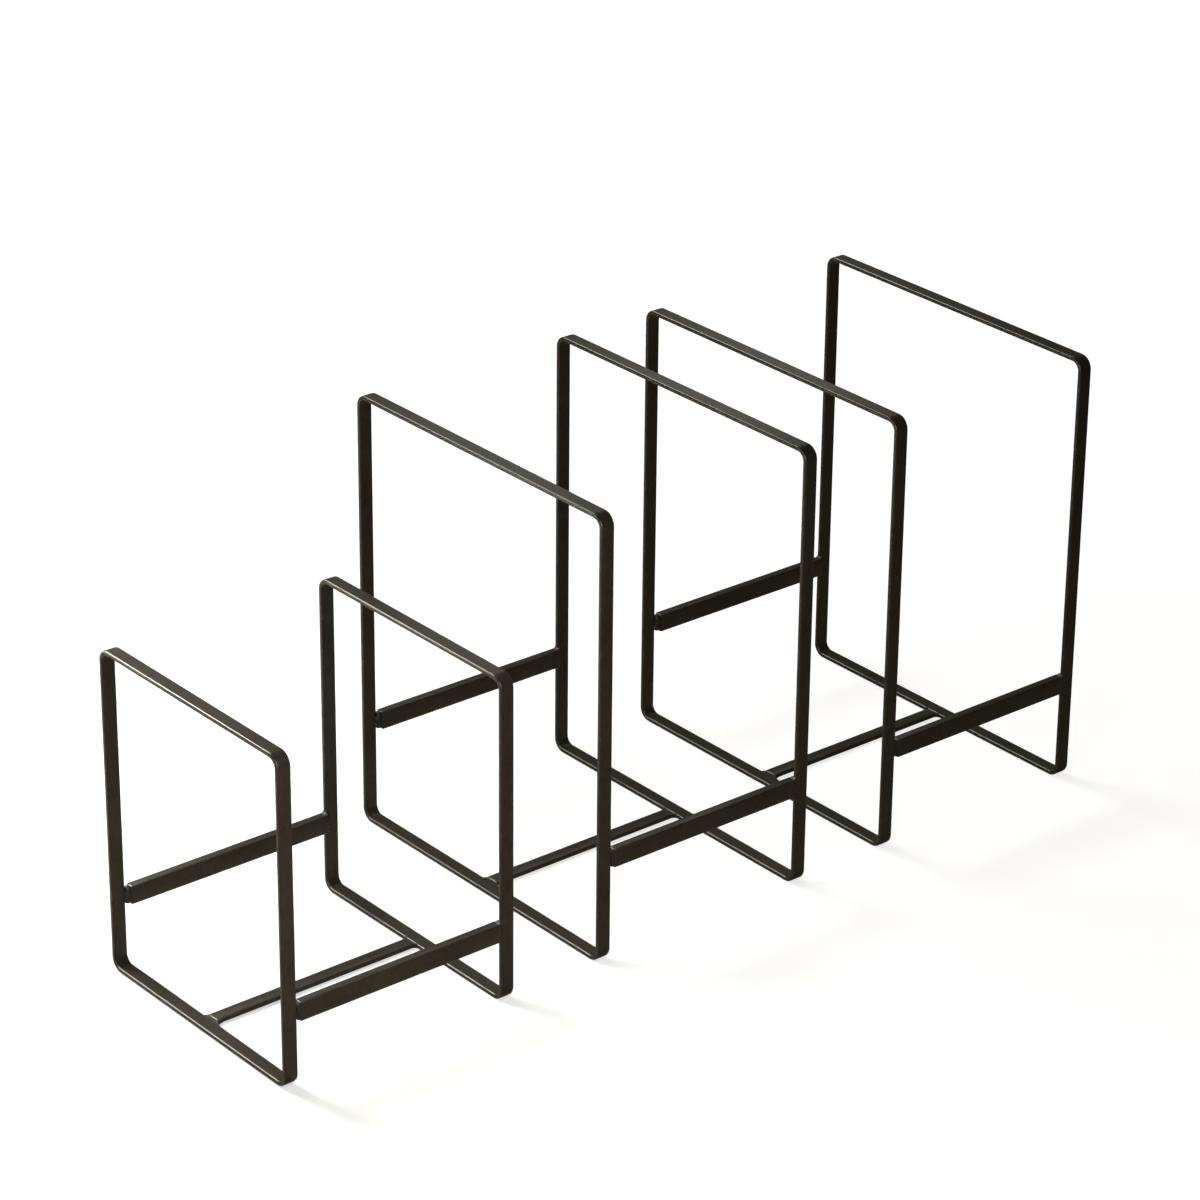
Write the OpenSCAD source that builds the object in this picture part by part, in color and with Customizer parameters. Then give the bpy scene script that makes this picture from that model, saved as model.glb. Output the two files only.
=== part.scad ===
// Countertop dish rack: a row of three free-standing plate racks of welded flat bar.
// Each rack has two bent hoops, two side rails on edge, one flat centre bar, and the welds between them.
// X runs along the row from the small rack to the far large one, Y runs across it, Z points up.
// The origin is the middle of the row's footprint on the counter, and lengths are in millimetres.

/* [Small rack] */
// Width of the small rack's hoops
small_width = 150; // [110:1:190]
// Height of the small rack's hoops
small_height = 180; // [130:1:230]
// Height of the small rack's side rails above the counter
small_rail_level = 34.8; // [20:0.1:60]

/* [Large racks] */
// Width of the two large racks' hoops
large_width = 200; // [150:1:260]
// Height of the two large racks' hoops
large_height = 248; // [180:1:320]
// Height of the large racks' side rails above the counter
large_rail_level = 52.1; // [30:0.1:80]

/* [Row] */
// Length of each rack, from the front hoop's face to the rear hoop's face
rack_length = 140; // [100:1:200]
// Space between one rack and the next
rack_gap = 54; // [30:1:90]

/* [Hoops] */
// Width of the hoops' flat bar
bar_width = 8; // [6:0.1:11]
// Thickness of the hoops' flat bar
bar_thickness = 2.5; // [2:0.1:3.5]
// Radius of the rolled edges of the hoops' bar
bar_edge_radius = 0.8; // [0.4:0.05:0.95]
// Outer radius of the hoops' bends
bend_radius = 7; // [5:0.1:12]

/* [Side rails] */
// Height of the side rails' flat bar, which stands on edge
rail_height = 10.4; // [8:0.1:14]
// Thickness of the side rails' flat bar
rail_thickness = 5; // [4:0.1:6.5]
// Radius of the rolled edges of the side rails
rail_edge_radius = 0.6; // [0.3:0.05:1]

/* [Centre bar] */
// Width of the centre bar, which lies flat between the bottom rungs
centre_width = 8; // [6:0.1:11]
// Radius of the rolled edges of the centre bar
centre_edge_radius = 0.8; // [0.4:0.05:0.95]

/* [Welds] */
// Space at the front ends of the rails, which the welds bridge
rail_gap = 2.3; // [1.8:0.1:3.2]
// Height of the bead at a rail's front end
rail_bead_height = 9.4; // [7:0.1:10]
// Height of that bead's middle above the rail's middle
rail_bead_rise = 0.2; // [0:0.05:0.4]
// Depth of that bead's lumps in the metal on both sides
rail_bead_bite = 0.55; // [0.3:0.05:0.6]
// Depth of that bead's outermost line behind the rail's outer face
rail_bead_recess = 0.9; // [0.5:0.1:1.2]
// Leg of the hollow seam that closes that recess beside the rail's end
seam_leg = 1.7; // [1.2:0.1:1.8]
// Depth of the seam's outer edge behind the rail's outer face
seam_recess = 0.3; // [0.1:0.05:0.5]
// Radius of the bead in the inner corner of a rail's rear end
corner_bead_radius = 1.5; // [1:0.1:1.8]
// Distance of that bead's middle from both faces of the corner
corner_bead_offset = 0.4; // [0.2:0.05:0.6]
// Height by which that bead runs past the rail above and below
corner_bead_over = 0.9; // [0.5:0.1:1.2]
// Leg of the small fillets at the rear joints
fillet_leg = 1.5; // [0.8:0.1:2]
// Space at the centre bar's front end, which the weld fills
bar_gap = 1.6; // [1.2:0.1:2]
// Width of that weld across the centre bar
bar_bead_width = 9.2; // [7:0.1:12]
// Leg of the wide fillet on the right side of the centre bar's front end
wide_fillet_leg = 5; // [3:0.1:6]

/* [Hidden] */
// Facets on a full turn of each curve
$fn = 48;
// Clear height that the centre bar's welds keep above the counter
bead_margin = 0.15;
// Share of a lump's radius at which the lump before it and the one after it lie
lump_step_share = 0.9;
// Share of a lump's radius that the plain core of a bead keeps
core_share = 0.85;
// Depth to which cutting bodies run past what they cut
overrun = 1;
// Colour of the powder coat
coat_colour = [0.11, 0.105, 0.09];

row_length = 3 * rack_length + 2 * rack_gap;
row_width = max(small_width, large_width);
middle_start = rack_length + rack_gap;
end_start = 2 * middle_start;
rail_start = bar_width + rail_gap;
centre_start = bar_width + bar_gap;
rail_end = rack_length - bar_width;
rail_lump_radius = rail_gap / 2 + rail_bead_bite;
bar_lump_radius = bar_thickness / 2 - bead_margin;

// Moves a rack from its own corner to its place in the row
module in_row(start) {
    color(coat_colour)
        translate([start - row_length / 2, -row_width / 2, 0])
            children();
}

// Cross-section of a flat bar with rolled edges, centred on zero
module bar_section(a, b, r) {
    square([a - 2 * r, b], center = true);
    square([a, b - 2 * r], center = true);
    for (sx = [-1, 1], sy = [-1, 1])
        translate([sx * (a / 2 - r), sy * (b / 2 - r)])
            circle(r);
}

// Flat bar along +X from zero, with its corner at zero, a thick in Y and b high in Z
module bar_along_x(length, a, b, r) {
    rotate([90, 0, 90])
        linear_extrude(length)
            translate([a / 2, b / 2])
                bar_section(a, b, r);
}

// Straight upright piece of the hoops' bar, with its corner at zero
module leg(height) {
    linear_extrude(height)
        translate([bar_width / 2, bar_thickness / 2])
            bar_section(bar_width, bar_thickness, bar_edge_radius);
}

// Straight level piece of the hoops' bar along +Y, with its corner at zero
module rung(length) {
    translate([0, length, 0])
        rotate([90, 0, 0])
            linear_extrude(length)
                translate([bar_width / 2, bar_thickness / 2])
                    bar_section(bar_width, bar_thickness, bar_edge_radius);
}

// Quarter bend of the hoops' bar about the X axis, from +Y to +Z
module bend() {
    rotate([90, 0, 90])
        rotate_extrude(angle = 90)
            translate([bend_radius - bar_thickness / 2, bar_width / 2])
                bar_section(bar_thickness, bar_width, bar_edge_radius);
}

// One hoop: a single flat bar bent round into a closed rounded rectangle
module hoop(width, height) {
    span = width - 2 * bend_radius;
    rise = height - 2 * bend_radius;
    translate([0, bend_radius, 0])
        rung(span);
    translate([0, bend_radius, height - bar_thickness])
        rung(span);
    translate([0, 0, bend_radius])
        leg(rise);
    translate([0, width - bar_thickness, bend_radius])
        leg(rise);
    translate([0, width - bend_radius, height - bend_radius])
        bend();
    translate([0, bend_radius, height - bend_radius])
        rotate([90, 0, 0])
            bend();
    translate([0, bend_radius, bend_radius])
        rotate([180, 0, 0])
            bend();
    translate([0, width - bend_radius, bend_radius])
        rotate([270, 0, 0])
            bend();
}

module front_hoop(width, height) {
    hoop(width, height);
}

module rear_hoop(width, height) {
    translate([rail_end, 0, 0])
        hoop(width, height);
}

// Places a right-hand piece, and on the left its mirror image
module on_both_sides(width) {
    children();
    on_left(width)
        children();
}

module on_left(width) {
    translate([0, width, 0])
        mirror([0, 1, 0])
            children();
}

// Right side rail, flush with the legs' outer faces
module rail(level) {
    translate([rail_start, 0, level])
        bar_along_x(rail_end - rail_start, rail_thickness, rail_height, rail_edge_radius);
}

// Centre bar, level with the bottom rungs
module centre_bar(width) {
    translate([centre_start, (width - centre_width) / 2, 0])
        bar_along_x(rail_end - centre_start, centre_width, bar_thickness, centre_edge_radius);
}

// Row of weld lumps along +Z, as high as length, round a plain core
module bead(length, radius) {
    count = ceil((length - 2 * radius) / (radius * lump_step_share));
    step = (length - 2 * radius) / count;
    for (i = [0:count])
        translate([0, 0, radius + i * step])
            sphere(radius);
    translate([0, 0, radius])
        cylinder(h = length - 2 * radius, r = radius * core_share);
}

// Concave fillet in the corner at zero between a face across X and one across Y, thick in Z
// It runs past both faces, by the bar's edge radius and by root, and is cut to them afterwards
module fillet(size, root, thick) {
    linear_extrude(thick)
        difference() {
            translate([-size, -root])
                square([size + bar_edge_radius, size + root]);
            translate([-size, size])
                circle(size);
        }
}

// Recessed bead between a front leg and its rail's end, with a hollow seam beside the rail, cut to both
module rail_bead(level) {
    bead_start = level + (rail_height - rail_bead_height) / 2 + rail_bead_rise;
    difference() {
        union() {
            translate([bar_width + rail_gap / 2, rail_bead_recess + rail_lump_radius, bead_start])
                bead(rail_bead_height, rail_lump_radius);
            translate([rail_start, seam_recess + seam_leg, bead_start + rail_bead_height - seam_recess])
                rotate([180, 0, 0])
                    fillet(seam_leg, rail_lump_radius / 2, rail_bead_height - 2 * seam_recess);
        }
        translate([0, 0, level - overrun])
            leg(rail_height + 2 * overrun);
        translate([rail_start, 0, level])
            cube([rail_gap, rail_thickness, rail_height]);
    }
}

// Fillets above and below a rail's rear end, a bead in its inner corner and a flush seam in its outer one,
// cut to the leg and the rail
module rear_weld(level) {
    corner_start = level - corner_bead_over;
    past = fillet_leg + overrun;
    difference() {
        union() {
            translate([rail_end, bar_thickness, level + rail_height])
                rotate([90, 0, 0])
                    fillet(fillet_leg, rail_edge_radius, bar_thickness);
            translate([rail_end, 0, level])
                rotate([-90, 0, 0])
                    fillet(fillet_leg, rail_edge_radius, bar_thickness);
            translate([rail_end + corner_bead_offset, bar_thickness + corner_bead_offset, corner_start])
                bead(rail_height + 2 * corner_bead_over, corner_bead_radius);
            translate([rail_end, 0, level])
                cube([bar_edge_radius, bar_edge_radius, rail_height]);
        }
        translate([rail_end, 0, level - past])
            leg(rail_height + 2 * past);
        rail(level);
    }
}

module rail_welds(width, level) {
    on_both_sides(width) {
        rail_bead(level);
        rear_weld(level);
    }
}

// Fillet on the right side of the centre bar, against a rung whose face is across X at zero
module side_fillet(size) {
    thick = bar_thickness - 2 * bead_margin;
    translate([0, centre_width / 2, -thick / 2])
        fillet(size, centre_edge_radius, thick);
}

// Bead that fills the gap in front of the centre bar, and a wide fillet on its right
module front_weld(width) {
    difference() {
        union() {
            translate([bar_width + bar_gap / 2, (width + bar_bead_width) / 2, bar_thickness / 2])
                rotate([90, 0, 0])
                    bead(bar_bead_width, bar_lump_radius);
            translate([bar_width, width / 2, bar_thickness / 2])
                rotate([0, 0, 180])
                    side_fillet(wide_fillet_leg);
        }
        translate([0, width / 2 - bar_bead_width - wide_fillet_leg, 0])
            rung(2 * (bar_bead_width + wide_fillet_leg));
        centre_bar(width);
    }
}

// The welds of the centre bar: the wide one in front and a small fillet on each side behind, cut to the bars
module bar_welds(width) {
    front_weld(width);
    difference() {
        translate([rail_end, width / 2, bar_thickness / 2])
            for (turn = [0, 180])
                rotate([turn, 0, 0])
                    side_fillet(fillet_leg);
        translate([rail_end, width / 2 - centre_width, 0])
            rung(2 * centre_width);
        centre_bar(width);
    }
}

module small_front_hoop() in_row(0) front_hoop(small_width, small_height);
module small_rear_hoop() in_row(0) rear_hoop(small_width, small_height);
module small_left_rail() in_row(0) on_left(small_width) rail(small_rail_level);
module small_right_rail() in_row(0) rail(small_rail_level);
module small_centre_bar() in_row(0) centre_bar(small_width);
module small_rail_welds() in_row(0) rail_welds(small_width, small_rail_level);
module small_bar_welds() in_row(0) bar_welds(small_width);

module middle_front_hoop() in_row(middle_start) front_hoop(large_width, large_height);
module middle_rear_hoop() in_row(middle_start) rear_hoop(large_width, large_height);
module middle_left_rail() in_row(middle_start) on_left(large_width) rail(large_rail_level);
module middle_right_rail() in_row(middle_start) rail(large_rail_level);
module middle_centre_bar() in_row(middle_start) centre_bar(large_width);
module middle_rail_welds() in_row(middle_start) rail_welds(large_width, large_rail_level);
module middle_bar_welds() in_row(middle_start) bar_welds(large_width);

module end_front_hoop() in_row(end_start) front_hoop(large_width, large_height);
module end_rear_hoop() in_row(end_start) rear_hoop(large_width, large_height);
module end_left_rail() in_row(end_start) on_left(large_width) rail(large_rail_level);
module end_right_rail() in_row(end_start) rail(large_rail_level);
module end_centre_bar() in_row(end_start) centre_bar(large_width);
module end_rail_welds() in_row(end_start) rail_welds(large_width, large_rail_level);
module end_bar_welds() in_row(end_start) bar_welds(large_width);

small_front_hoop();
small_rear_hoop();
small_left_rail();
small_right_rail();
small_centre_bar();
small_rail_welds();
small_bar_welds();
middle_front_hoop();
middle_rear_hoop();
middle_left_rail();
middle_right_rail();
middle_centre_bar();
middle_rail_welds();
middle_bar_welds();
end_front_hoop();
end_rear_hoop();
end_left_rail();
end_right_rail();
end_centre_bar();
end_rail_welds();
end_bar_welds();
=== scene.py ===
import bpy
import math
from mathutils import Matrix, Vector


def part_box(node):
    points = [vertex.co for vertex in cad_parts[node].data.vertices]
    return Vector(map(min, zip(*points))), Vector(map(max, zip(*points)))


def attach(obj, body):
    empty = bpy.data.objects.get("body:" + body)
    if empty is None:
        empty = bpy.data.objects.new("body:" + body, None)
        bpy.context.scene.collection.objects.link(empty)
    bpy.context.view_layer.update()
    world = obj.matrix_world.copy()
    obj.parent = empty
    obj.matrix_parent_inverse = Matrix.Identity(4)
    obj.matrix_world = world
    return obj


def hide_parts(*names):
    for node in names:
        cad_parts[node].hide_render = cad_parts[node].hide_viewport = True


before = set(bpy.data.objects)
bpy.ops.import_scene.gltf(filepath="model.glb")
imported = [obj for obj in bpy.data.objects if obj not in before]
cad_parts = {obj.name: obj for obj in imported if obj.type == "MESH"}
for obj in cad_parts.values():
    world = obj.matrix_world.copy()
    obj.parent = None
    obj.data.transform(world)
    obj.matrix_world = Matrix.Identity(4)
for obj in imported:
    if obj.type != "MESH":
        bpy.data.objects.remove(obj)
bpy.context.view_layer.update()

racks = ("small", "middle", "end")
rackBody = {"small": "small_rack", "middle": "middle_rack", "end": "end_rack"}


# Camera

cameraView = {
    "place": (-1.27743, -1.56363, 1.10126),  # metres, in the model's own frame
    "turn": (65.492, -0.486, -39.271),  # degrees about X, Y and Z
    "lens": 129.34,  # millimetres, like the sensor's width
    "sensorWidth": 36.0,
    "shiftY": -0.05,
    "nearest": 0.01,
    "farthest": 60.0,
}

bpy.ops.object.select_all(action="DESELECT")
bpy.ops.object.camera_add(
    location=cameraView["place"], rotation=[math.radians(angle) for angle in cameraView["turn"]])
camera = bpy.context.object
camera.name = "viewCamera"
camera.data.sensor_width = cameraView["sensorWidth"]
camera.data.lens = cameraView["lens"]
camera.data.shift_y = cameraView["shiftY"]
camera.data.clip_start = cameraView["nearest"]
camera.data.clip_end = cameraView["farthest"]
bpy.context.scene.camera = camera
print("camera placed")


# Shader maths

class Wire:
    # one socket of a node tree: sums and products of these add their own Math nodes
    def __init__(self, tree, socket):
        self.tree = tree
        self.socket = socket

    def plug(self, target, value):
        if isinstance(value, Wire):
            self.tree.links.new(value.socket, target)
        else:
            target.default_value = value

    def make(self, kind, settings, inputs, output=0):
        node = self.tree.nodes.new(kind)
        for name, value in settings.items():
            setattr(node, name, value)
        for name, value in inputs.items():
            self.plug(node.inputs[name], value)
        return Wire(self.tree, node.outputs[output])

    def maths(self, operation, first, second=0.0):
        return self.make("ShaderNodeMath", {"operation": operation}, {0: first, 1: second})

    def __add__(self, other):
        return self.maths("ADD", self, other)

    def __radd__(self, other):
        return self.maths("ADD", other, self)

    def __sub__(self, other):
        return self.maths("SUBTRACT", self, other)

    def __rsub__(self, other):
        return self.maths("SUBTRACT", other, self)

    def __mul__(self, other):
        return self.maths("MULTIPLY", self, other)

    def __rmul__(self, other):
        return self.maths("MULTIPLY", other, self)

    def __truediv__(self, other):
        return self.maths("DIVIDE", self, other)

    def __rtruediv__(self, other):
        return self.maths("DIVIDE", other, self)

    def root(self):
        return self.maths("SQRT", self)

    def limit(self, low, high):
        return self.maths("MINIMUM", self.maths("MAXIMUM", self, low), high)

    def place(self):
        return self.make("ShaderNodeTexCoord", {}, {}, "Object")

    def noise(self, place, pattern):
        scale, detail, roughness = pattern
        return self.make("ShaderNodeTexNoise", {}, {
            "Vector": place, "Scale": scale, "Detail": detail, "Roughness": roughness,
        })

    def blend(self, factor, low, high):
        # the Mix node repeats its names, so its colour sockets go by number
        return self.make("ShaderNodeMix", {"data_type": "RGBA"}, {0: factor, 6: low, 7: high}, 2)

    def mixShader(self, factor, low, high):
        return self.make("ShaderNodeMixShader", {}, {0: factor, 1: low, 2: high})


def startNodes(owner, outputKind):
    # clears the nodes of a material or of the world, and gives the output's Surface socket
    owner.use_nodes = True
    tree = owner.node_tree
    tree.nodes.clear()
    return Wire(tree, tree.nodes.new(outputKind).inputs["Surface"])


# Powder coat

coatFinish = {
    "dark": (0.0125, 0.0104, 0.0074, 1.0),
    "light": (0.0270, 0.0232, 0.0172, 1.0),
    "rubbed": (0.070, 0.061, 0.048, 1.0),
    "patches": (34.0, 3.0, 0.5),  # each noise as its turns in a metre, octaves and their strength
    "mottle": (306.0, 2.0, 0.5),
    "peel": (620.0, 1.5, 0.5),  # orange peel
    "grain": (5200.0, 1.0, 0.5),
    "scuffs": (210.0, 4.0, 0.65),
    "noiseMiddle": 0.5,
    "patchShare": 0.6,  # of the change of tone, and the mottle makes the rest
    "toneStart": 0.3,
    "toneContrast": 2.2,
    "scuffStart": 0.56,
    "scuffContrast": 6.0,
    "rubShare": 0.55,  # of the rubbed tone where an edge is worn most
    "peelHeight": 0.000012,
    "grainHeight": 0.0000022,
    "roughness": 0.30,
    "mottleRoughness": 0.10,
    "grainRoughness": 0.08,
    "rubbedGloss": 0.06,
    "roughnessLimits": (0.2, 0.8),
    "refraction": 1.5,
}


def powderCoat(name, finish, peel=1.0, rub=1.0):
    coat = bpy.data.materials.new(name)
    out = startNodes(coat, "ShaderNodeOutputMaterial")
    place, middle, patchShare = out.place(), finish["noiseMiddle"], finish["patchShare"]
    patches, mottle, grain = (out.noise(place, finish[kind]) for kind in ("patches", "mottle", "grain"))
    tone = patches * patchShare + mottle * (1.0 - patchShare) - finish["toneStart"]
    tone = (tone * finish["toneContrast"]).limit(0.0, 1.0)
    rim = out.make("ShaderNodeAttribute", {"attribute_name": "rim"}, {}, "Fac")
    scuffs = (out.noise(place, finish["scuffs"]) - finish["scuffStart"]) * finish["scuffContrast"]
    rubbed = (scuffs.limit(0.0, 1.0) * rim * (finish["rubShare"] * rub)).limit(0.0, 1.0)
    colour = out.blend(rubbed, out.blend(tone, finish["dark"], finish["light"]), finish["rubbed"])
    roughness = finish["roughness"] + (mottle - middle) * finish["mottleRoughness"]
    roughness = roughness + (grain - middle) * finish["grainRoughness"] - rubbed * finish["rubbedGloss"]
    orangePeel = out.noise(place, finish["peel"]) * (finish["peelHeight"] * peel)
    bumped = out.make("ShaderNodeBump", {}, {
        "Strength": 1.0, "Distance": 1.0, "Height": orangePeel + grain * finish["grainHeight"],
    })
    out.plug(out.socket, out.make("ShaderNodeBsdfPrincipled", {}, {
        "Base Color": colour,
        "Roughness": roughness.limit(*finish["roughnessLimits"]),
        "Metallic": 0.0,
        "IOR": finish["refraction"],
        "Normal": bumped,
    }))
    return coat


hoopCoat = powderCoat("hoopCoat", coatFinish)
railCoat = powderCoat("railCoat", coatFinish, peel=1.2, rub=0.7)
weldPaintedShadeFinish = {
    **coatFinish,
    # the darker tones are painted shade, standing in for the shadow in the recessed weld grooves
    "dark": (0.0095, 0.0080, 0.0058, 1.0),
    "light": (0.0190, 0.0162, 0.0120, 1.0),
    "roughness": 0.52,  # the coat lies duller over the ripples
}
weldPaintedShadeCoat = powderCoat("weldPaintedShadeCoat", weldPaintedShadeFinish, peel=0.6, rub=0.8)
print("powder coats mixed")


# Modelling helpers

mergeReach = 0.000001  # metres between points that are one and the same
flatNormal = 0.995  # along an axis, from which a face counts as flat
quarterTurn = math.radians(90.0)
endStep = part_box("end_front_hoop")[0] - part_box("middle_front_hoop")[0]  # to the middle rack's twin


def startPiece():
    if bpy.context.object and bpy.context.object.mode != "OBJECT":
        bpy.ops.object.mode_set(mode="OBJECT")
    bpy.ops.object.select_all(action="DESELECT")


def applyPlace():
    bpy.ops.object.transform_apply(location=True, rotation=True, scale=True)


def mergePoints():
    bpy.ops.mesh.select_all(action="SELECT")
    bpy.ops.mesh.remove_doubles(threshold=mergeReach)


def turnOut():
    bpy.ops.mesh.select_all(action="SELECT")
    bpy.ops.mesh.normals_make_consistent(inside=False)


def selectFaces(piece, wanted):
    bpy.ops.mesh.select_all(action="DESELECT")
    bpy.ops.object.mode_set(mode="OBJECT")
    for face in piece.data.polygons:
        face.select = wanted(face)
    bpy.ops.object.mode_set(mode="EDIT")


def selectEdges(piece, wanted):
    bpy.ops.mesh.select_all(action="DESELECT")
    bpy.ops.object.mode_set(mode="OBJECT")
    for edge in piece.data.edges:
        edge.select = wanted(*(piece.data.vertices[i].co for i in edge.vertices))
    bpy.ops.object.mode_set(mode="EDIT")


def roundEdges(piece, width, steps, angle):
    rounding = piece.modifiers.new("rounding", "BEVEL")
    rounding.width = width
    rounding.segments = steps
    rounding.limit_method = "ANGLE"
    rounding.angle_limit = math.radians(angle)
    rounding.harden_normals = True
    for face in piece.data.polygons:
        face.use_smooth = True
    bpy.ops.object.modifier_apply(modifier="rounding")


def markRim(piece, isRim):
    # 1 on the rounded edges and 0 on the flats, which the coat's wear reads
    mark = piece.data.attributes.new("rim", "FLOAT", "CORNER")
    for face in piece.data.polygons:
        value = 1.0 if isRim(face.normal) else 0.0
        for corner in face.loop_indices:
            mark.data[corner].value = value


def copyPiece(source, name, step):
    # a copy with its own mesh, moved inside the mesh so that the object stays at zero
    piece = bpy.data.objects.new(name, source.data.copy())
    piece.data.name = name
    bpy.context.scene.collection.objects.link(piece)
    piece.data.transform(Matrix.Translation(step))
    return piece


def finishPiece(piece, rack, node):
    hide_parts(node)
    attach(piece, rackBody[rack])


# Hoops

hoopBar = {
    "thick": 0.0025,
    "bendRadius": 0.007,  # outside of the bend
    "bendSteps": 14,
    "edgeRadius": 0.0008,
    "edgeSteps": 4,
    "edgeAngle": 40.0,  # degrees between two faces, from which their edge is rounded
    "faceNormal": 0.05,  # along X, up to which a face belongs to the bar's broad sides
}


def bendHoop(name, low, high):
    # the bar's section is pushed along each side and turned round each bend
    radius, thick, wide = hoopBar["bendRadius"], hoopBar["thick"], high.x - low.x
    span, rise = high.y - low.y - 2.0 * radius, high.z - low.z - 2.0 * radius
    left, right = high.y - radius, low.y + radius
    bottom, top = low.z + radius, high.z - radius
    startPiece()
    bpy.ops.mesh.primitive_plane_add(
        size=1.0, location=(low.x + wide / 2.0, right, low.z + thick / 2.0),
        rotation=(quarterTurn, 0.0, 0.0))
    piece = bpy.context.object
    piece.name = name
    piece.scale = (wide, thick, 1.0)
    applyPlace()
    bpy.ops.object.mode_set(mode="EDIT")
    bpy.ops.mesh.select_all(action="SELECT")
    sides = (
        ((0.0, span, 0.0), (0.0, left, bottom)),
        ((0.0, 0.0, rise), (0.0, left, top)),
        ((0.0, -span, 0.0), (0.0, right, top)),
        ((0.0, 0.0, -rise), (0.0, right, bottom)),
    )
    for push, centre in sides:
        bpy.ops.mesh.extrude_region_move(TRANSFORM_OT_translate={"value": push})
        bpy.ops.mesh.spin(
            steps=hoopBar["bendSteps"], angle=-quarterTurn, center=centre, axis=(1.0, 0.0, 0.0))
    mergePoints()
    # the face that closed the first section is inside the ring now
    selectFaces(piece, lambda face: (
        abs(face.normal.y) > flatNormal and abs(face.center.y - right) < mergeReach))
    bpy.ops.mesh.delete(type="ONLY_FACE")
    mergePoints()
    turnOut()
    bpy.ops.object.mode_set(mode="OBJECT")
    roundEdges(piece, hoopBar["edgeRadius"], hoopBar["edgeSteps"], hoopBar["edgeAngle"])
    markRim(piece, lambda normal: hoopBar["faceNormal"] < abs(normal.x) < flatNormal)
    piece.data.materials.append(hoopCoat)
    return piece


hoopOf = {}
for rack in racks:
    low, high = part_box(rack + "_front_hoop")
    if rack == "end":
        hoopOf[rack] = copyPiece(hoopOf["middle"], rack + "FrontHoop", endStep)
    else:
        hoopOf[rack] = bendHoop(rack + "FrontHoop", low, high)
    rear = copyPiece(hoopOf[rack], rack + "RearHoop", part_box(rack + "_rear_hoop")[0] - low)
    finishPiece(rear, rack, rack + "_rear_hoop")
for rack in racks:
    finishPiece(hoopOf[rack], rack, rack + "_front_hoop")
print("hoops bent:", 2 * len(racks))


# Rails and centre bars

flatBar = {
    "railEdge": 0.0006,
    "barEdge": 0.0008,
    "edgeSteps": 3,
    "longShare": 0.9,  # of the bar's length, past which an edge is one of the long ones
    "railEnd": 0.0003,  # rounding of the sawn ends
    "barEnd": 0.0006,
    "endSteps": 3,
    "endAngle": 50.0,  # degrees between two faces, from which their edge is rounded
}


def cutBar(name, low, high, edgeRadius, endRounding):
    size = high - low
    startPiece()
    bpy.ops.mesh.primitive_cube_add(size=1.0, location=(low + high) / 2.0)
    piece = bpy.context.object
    piece.name = name
    piece.scale = size
    applyPlace()
    bpy.ops.object.mode_set(mode="EDIT")
    # the long edges are rolled round, the ends are only softened
    selectEdges(piece, lambda first, second: abs(first.x - second.x) > size.x * flatBar["longShare"])
    bpy.ops.mesh.bevel(offset=edgeRadius, segments=flatBar["edgeSteps"])
    turnOut()
    bpy.ops.object.mode_set(mode="OBJECT")
    roundEdges(piece, endRounding, flatBar["endSteps"], flatBar["endAngle"])
    markRim(piece, lambda normal: max(abs(part) for part in normal) < flatNormal)
    piece.data.materials.append(railCoat)
    return piece


for rack in racks:
    for side in ("left", "right"):
        node = rack + "_" + side + "_rail"
        rail = cutBar(
            rack + side.capitalize() + "Rail", *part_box(node), flatBar["railEdge"], flatBar["railEnd"])
        finishPiece(rail, rack, node)
    node = rack + "_centre_bar"
    bar = cutBar(rack + "CentreBar", *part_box(node), flatBar["barEdge"], flatBar["barEnd"])
    finishPiece(bar, rack, node)
print("rails and centre bars cut:", 3 * len(racks))


# Welds

weldMetal = {
    "voxel": 0.00016,
    "meltPasses": 6,  # of smoothing, which melts the lumps into each other
    "meltShare": 0.5,
    "lumpSegments": 20,
    "lumpRings": 12,
    "cutterSides": 64,
    "cutterLength": 3.0,  # in widths of the fillet that it cuts
    "root": 0.0006,  # how far the weld runs into the bars
    "beadSize": (0.00175, 0.00155, 0.00115),
    "beadDepth": 0.0030,  # of the bead's middle behind the rail's outer face
    "beadEnds": (1.5, 1.2),  # from the rail's bottom and top, in heights of a lump
    "beadStep": 0.0010,
    "beadDrift": 0.00013,  # how far a lump strays from its line
    "driftTurns": (1.9, 2.7, 3.1),  # radians from lump to lump, along X, Y and Z
    "driftRise": 0.4,  # share of the drift that goes up and down
    "seamSize": (0.0013, 0.0012, 0.0014),
    "seamDepth": 0.0016,
    "seamEnds": (1.2, 1.1),
    "knobSize": 0.0010,  # where the welder stopped, at the top of the front bead
    "knobPlace": (0.9, 1.6, 1.5),  # from leg, outer face and rail's top, in knob sizes
    "knobRise": 1.2,
    "cornerSize": (0.00145, 0.00145, 0.0010),
    "cornerOffset": 0.0004,
    "cornerOver": 0.0008,
    "filletLeg": 0.0015,
    "sideMargin": 0.0002,
    "flushDepth": 0.00005,
    "padRoot": 0.0014,  # how far the pad runs in under the rung's rolled edge
    "padSink": 0.00006,  # of the pad's top below the bars' tops
    "padDrop": 0.00055,  # the same where it meets the centre bar
    "padOver": 0.0004,  # past the centre bar on both sides
    "wideLeg": 0.0050,
}


def addLump(centre, radii):
    bpy.ops.mesh.primitive_uv_sphere_add(
        segments=weldMetal["lumpSegments"], ring_count=weldMetal["lumpRings"], radius=1.0, location=centre)
    lump = bpy.context.object
    lump.scale = radii
    applyPlace()
    return lump


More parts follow.
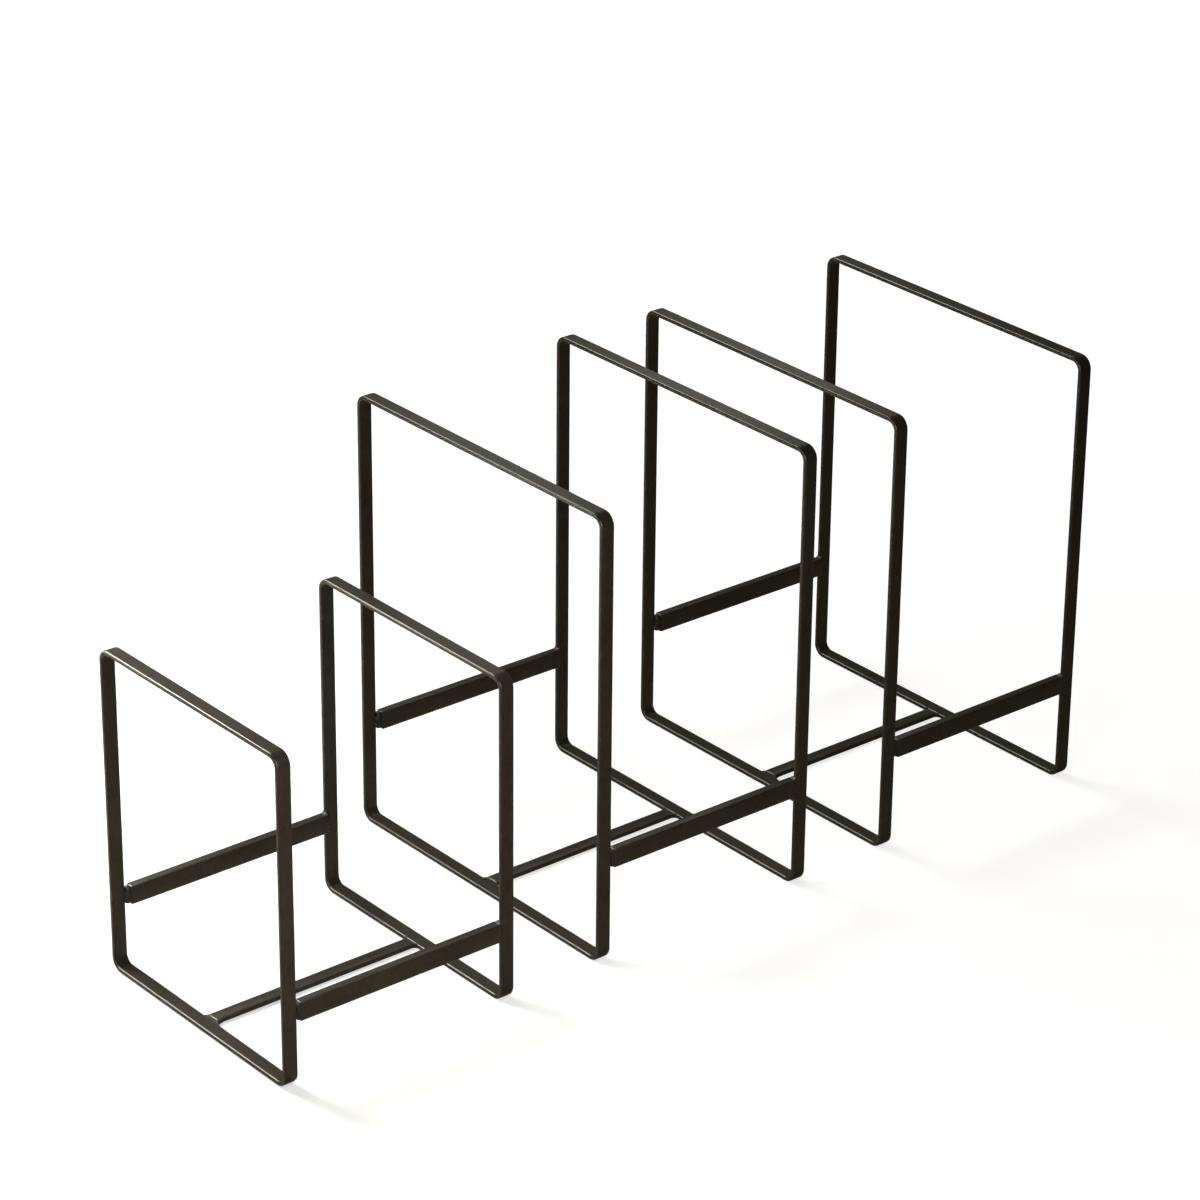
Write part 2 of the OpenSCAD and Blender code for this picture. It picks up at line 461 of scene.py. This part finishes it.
def addLumpRow(start, stop, radii, drift):
    # lumps from one point to the other, straying a little like a hand-laid bead
    count = max(2, round((stop - start).length / weldMetal["beadStep"]))
    row = []
    for i in range(count + 1):
        turnX, turnY, turnZ = (turn * i for turn in weldMetal["driftTurns"])
        stray = Vector((math.sin(turnX), math.cos(turnY), weldMetal["driftRise"] * math.sin(turnZ)))
        row.append(addLump(start.lerp(stop, i / count) + stray * drift, radii))
    return row


def addBlock(first, second):
    bpy.ops.mesh.primitive_cube_add(size=1.0, location=(first + second) / 2.0)
    block = bpy.context.object
    block.scale = [abs(a - b) for a, b in zip(first, second)]
    applyPlace()
    return block


def addFillet(corner, across, along, leg, width):
    # hollow fillet in a corner: across has 1 or -1 for the two axes of its open side, and along is
    # the name of the third axis, in which the fillet runs on for its width
    turn = {"Y": (quarterTurn, 0.0, 0.0), "Z": (0.0, 0.0, 0.0)}[along]
    axis = Vector([1.0 if along == name else 0.0 for name in "XYZ"])
    opening = Vector(across)
    block = addBlock(corner - opening * weldMetal["root"], corner + opening * leg + axis * width)
    bpy.ops.mesh.primitive_cylinder_add(
        vertices=weldMetal["cutterSides"], radius=leg, depth=abs(width) * weldMetal["cutterLength"],
        location=corner + opening * leg + axis * (width / 2.0), rotation=turn)
    cutter = bpy.context.object
    applyPlace()
    hollow = block.modifiers.new("hollow", "BOOLEAN")
    hollow.object = cutter
    hollow.operation = "DIFFERENCE"
    hollow.solver = "EXACT"
    startPiece()
    block.select_set(True)
    bpy.context.view_layer.objects.active = block
    bpy.ops.object.modifier_apply(modifier="hollow")
    bpy.data.objects.remove(cutter, do_unlink=True)
    return block


def meltWeld(name, parts):
    # joins the parts, closes them into one skin and smooths it
    startPiece()
    for part in parts:
        part.select_set(True)
    bpy.context.view_layer.objects.active = parts[0]
    bpy.ops.object.join()
    weld = bpy.context.object
    weld.name = name
    skin = weld.modifiers.new("skin", "REMESH")
    skin.mode = "VOXEL"
    skin.voxel_size = weldMetal["voxel"]
    bpy.ops.object.modifier_apply(modifier="skin")
    melt = weld.modifiers.new("melt", "SMOOTH")
    melt.factor = weldMetal["meltShare"]
    melt.iterations = weldMetal["meltPasses"]
    bpy.ops.object.modifier_apply(modifier="melt")
    bpy.ops.object.shade_smooth()
    weld.data.materials.clear()
    weld.data.materials.append(weldPaintedShadeCoat)
    return weld


def weldRail(rack, side):
    # the front bead between leg and rail, and the fillets, corner bead and flush seam behind
    railLow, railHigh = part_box(rack + "_" + side + "_rail")
    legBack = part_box(rack + "_front_hoop")[1].x
    inward, outer = (1.0, railLow.y) if side == "right" else (-1.0, railHigh.y)
    low, high, start, end = railLow.z, railHigh.z, railLow.x, railHigh.x
    margin, drift = weldMetal["sideMargin"], weldMetal["beadDrift"]

    def spot(x, depth, z):
        return Vector((x, outer + inward * depth, z))

    def addUpright(x, depth, bottom, top, radii, stray):
        return addLumpRow(spot(x, depth, bottom), spot(x, depth, top), radii, stray)

    bead, (below, above) = weldMetal["beadSize"], weldMetal["beadEnds"]
    bottom, top = low + below * bead[2], high - above * bead[2]
    parts = addUpright((legBack + start) / 2.0, weldMetal["beadDepth"], bottom, top, bead, drift)
    seam, (below, above) = weldMetal["seamSize"], weldMetal["seamEnds"]
    bottom, top = low + below * seam[2], high - above * seam[2]
    parts += addUpright(start - margin, weldMetal["seamDepth"], bottom, top, seam, 0.0)
    knob, (behindLeg, inside, down) = weldMetal["knobSize"], weldMetal["knobPlace"]
    place = spot(legBack + behindLeg * knob, inside * knob, high - down * knob)
    parts.append(addLump(place, (knob, knob, weldMetal["knobRise"] * knob)))

    leg, thick = weldMetal["filletLeg"], hoopBar["thick"]
    for z, up in ((high, 1.0), (low, -1.0)):
        width = inward * (thick - margin)
        parts.append(addFillet(spot(end, margin, z), (-1.0, 0.0, up), "Y", leg, width))
    corner, over, offset = weldMetal["cornerSize"], weldMetal["cornerOver"], weldMetal["cornerOffset"]
    bottom, top = low - over + corner[2], high + over - corner[2]
    parts += addUpright(end + offset, thick + offset, bottom, top, corner, drift)
    flush, edge = weldMetal["flushDepth"], hoopBar["edgeRadius"]
    parts.append(addBlock(spot(end - edge, flush, low + edge), spot(end + edge, flush + edge, high - edge)))
    return parts


def weldCentreBar(rack):
    # the pad and its wide fillet in front, and a small fillet on each side behind
    barLow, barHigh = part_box(rack + "_centre_bar")
    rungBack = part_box(rack + "_front_hoop")[1].x
    right, left = barLow.y - weldMetal["padOver"], barHigh.y + weldMetal["padOver"]
    low, high = barLow.z + weldMetal["padSink"], barHigh.z - weldMetal["padSink"]
    crest, dropped = (rungBack + barLow.x) / 2.0, barHigh.z - weldMetal["padDrop"]
    start, stop = rungBack - weldMetal["padRoot"], barLow.x + weldMetal["root"]
    wideLeg, leg = weldMetal["wideLeg"], weldMetal["filletLeg"]
    parts = [
        addBlock(Vector((start, right, low)), Vector((crest, left, high))),
        addBlock(Vector((rungBack, right, low)), Vector((stop, left, dropped))),
        addFillet(Vector((rungBack, barLow.y, low)), (1.0, -1.0, 0.0), "Z", wideLeg, high - low),
    ]
    for y, side in ((barLow.y, -1.0), (barHigh.y, 1.0)):
        parts.append(addFillet(Vector((barHigh.x, y, low)), (-1.0, side, 0.0), "Z", leg, high - low))
    return parts


weldOf = {}
for rack in ("small", "middle"):
    weldOf[rack, "rail"] = meltWeld(rack + "RailWelds", weldRail(rack, "right") + weldRail(rack, "left"))
    weldOf[rack, "bar"] = meltWeld(rack + "BarWelds", weldCentreBar(rack))
for kind in ("rail", "bar"):
    weldOf["end", kind] = copyPiece(weldOf["middle", kind], "end" + kind.capitalize() + "Welds", endStep)
for (rack, kind), weld in weldOf.items():
    finishPiece(weld, rack, rack + "_" + kind + "_welds")
print("welds laid:", {weld.name: len(weld.data.polygons) for weld in weldOf.values()})


# Floor and surroundings

studio = {
    "floorReach": 14.0,
    "floorSink": 0.0004,  # below the rungs
    "floorWhite": (0.92, 0.91, 0.89, 1.0),
    "white": (1.0, 1.0, 1.0, 1.0),
    "glowFar": 1.73,  # what the camera sees of the floor beside its lit tone
    "glowDip": 0.88,  # how much less of it where the lamps stand close
    "glowMiddle": (-0.32, 0.0, 0.0),
    "glowReach": 0.30,
    "shadowShare": 0.42,  # how much of the seen tone follows the light on the floor
    "tableTone": (0.26, 0.215, 0.165, 1.0),  # of the ground that the coat mirrors
    "airTint": (1.0, 0.85, 0.66, 1.0),  # of the room that the coat mirrors
    "airLevel": 0.07,
}


def forCamera(out, seen, mirrored):
    # the camera sees one surface, and everything else meets the other
    straight = out.make("ShaderNodeLightPath", {}, {}, "Is Camera Ray")
    out.plug(out.socket, out.mixShader(straight, mirrored, seen))


startPiece()
bpy.ops.mesh.primitive_plane_add(size=studio["floorReach"], location=(0.0, 0.0, -studio["floorSink"]))
floor = bpy.context.object
floor.name = "floor"

floorPaint = bpy.data.materials.new("floorPaint")
floor.data.materials.append(floorPaint)
out = startNodes(floorPaint, "ShaderNodeOutputMaterial")
ends = {0: out.place(), 1: studio["glowMiddle"]}
away = out.make("ShaderNodeVectorMath", {"operation": "DISTANCE"}, ends, "Value") / studio["glowReach"]
dimGlow, fullGlow = (
    out.make("ShaderNodeEmission", {}, {"Color": studio["white"], "Strength": level})
    for level in (studio["glowFar"] - studio["glowDip"], studio["glowFar"]))
glow = out.mixShader(1.0 - 1.0 / (away * away + 1.0).root(), dimGlow, fullGlow)
lit = out.make("ShaderNodeBsdfDiffuse", {}, {"Color": studio["floorWhite"]})
table = out.make("ShaderNodeBsdfDiffuse", {}, {"Color": studio["tableTone"]})
forCamera(out, out.mixShader(1.0 - studio["shadowShare"], lit, glow), table)

world = bpy.data.worlds.new("studioWorld")
bpy.context.scene.world = world
air = startNodes(world, "ShaderNodeOutputWorld")
paper = air.make("ShaderNodeBackground", {}, {"Color": studio["white"], "Strength": 1.0})
room = air.make("ShaderNodeBackground", {}, {"Color": studio["airTint"], "Strength": studio["airLevel"]})
forCamera(air, paper, room)
print("floor and surroundings set")


# Lamps

lamps = {  # places, aims and sizes in metres, power in watts
    "edgeLight": {
        "place": (-0.345, 1.77, 1.87), "aim": (0.0, 0.0, 0.1),
        "size": (1.1, 0.7), "power": 37.0, "tint": (1.0, 0.98, 0.90),
    },
    "nearEdge": {
        "place": (-0.31, 0.283, 0.42), "aim": (-0.36, 0.283, 0.333),
        "size": (0.32, 0.12), "power": 6.4, "tint": (0.98, 1.0, 0.90),
    },
    "rungEdge": {
        "place": (-0.364, 0.203, 0.172), "aim": (-0.26, -0.02, 0.0025),
        "size": (0.13, 0.08), "power": 0.55, "tint": (1.0, 0.99, 0.93),
    },
    "topPanel": {
        "place": (0.265, 0.25, 0.40), "aim": (0.265, 0.2499, 0.0),
        "size": (0.37, 0.22), "power": 0.20, "tint": (1.0, 0.94, 0.84),
    },
    "nearPanel": {
        "place": (0.035, 0.335, 0.40), "aim": (0.035, 0.3349, 0.0),
        "size": (0.18, 0.18), "power": 0.05, "tint": (1.0, 0.94, 0.84),
    },
    "backSheen": {
        "place": (1.5, 1.8, 1.2), "aim": (0.0, 0.0, 0.1),
        "size": (2.4, 2.4), "power": 0.8, "tint": (1.0, 0.90, 0.76),
    },
    "nearFill": {
        "place": (-0.34, -0.42, 0.36), "aim": (-0.20, -0.15, 0.05),
        "size": (0.30, 0.30), "power": 2.1, "tint": (1.0, 0.95, 0.88),
    },
}
for name, lamp in lamps.items():
    startPiece()
    bpy.ops.object.light_add(type="AREA", location=lamp["place"])
    light = bpy.context.object
    light.name = name
    light.data.shape = "RECTANGLE"
    light.data.size, light.data.size_y = lamp["size"]
    light.data.energy = lamp["power"]
    light.data.color = lamp["tint"]
    light.visible_camera = False
    look = Vector(lamp["aim"]) - Vector(lamp["place"])
    light.rotation_euler = look.to_track_quat("-Z", "Y").to_euler()
print("lamps set:", len(lamps))

bpy.context.scene.view_settings.view_transform = "Standard"
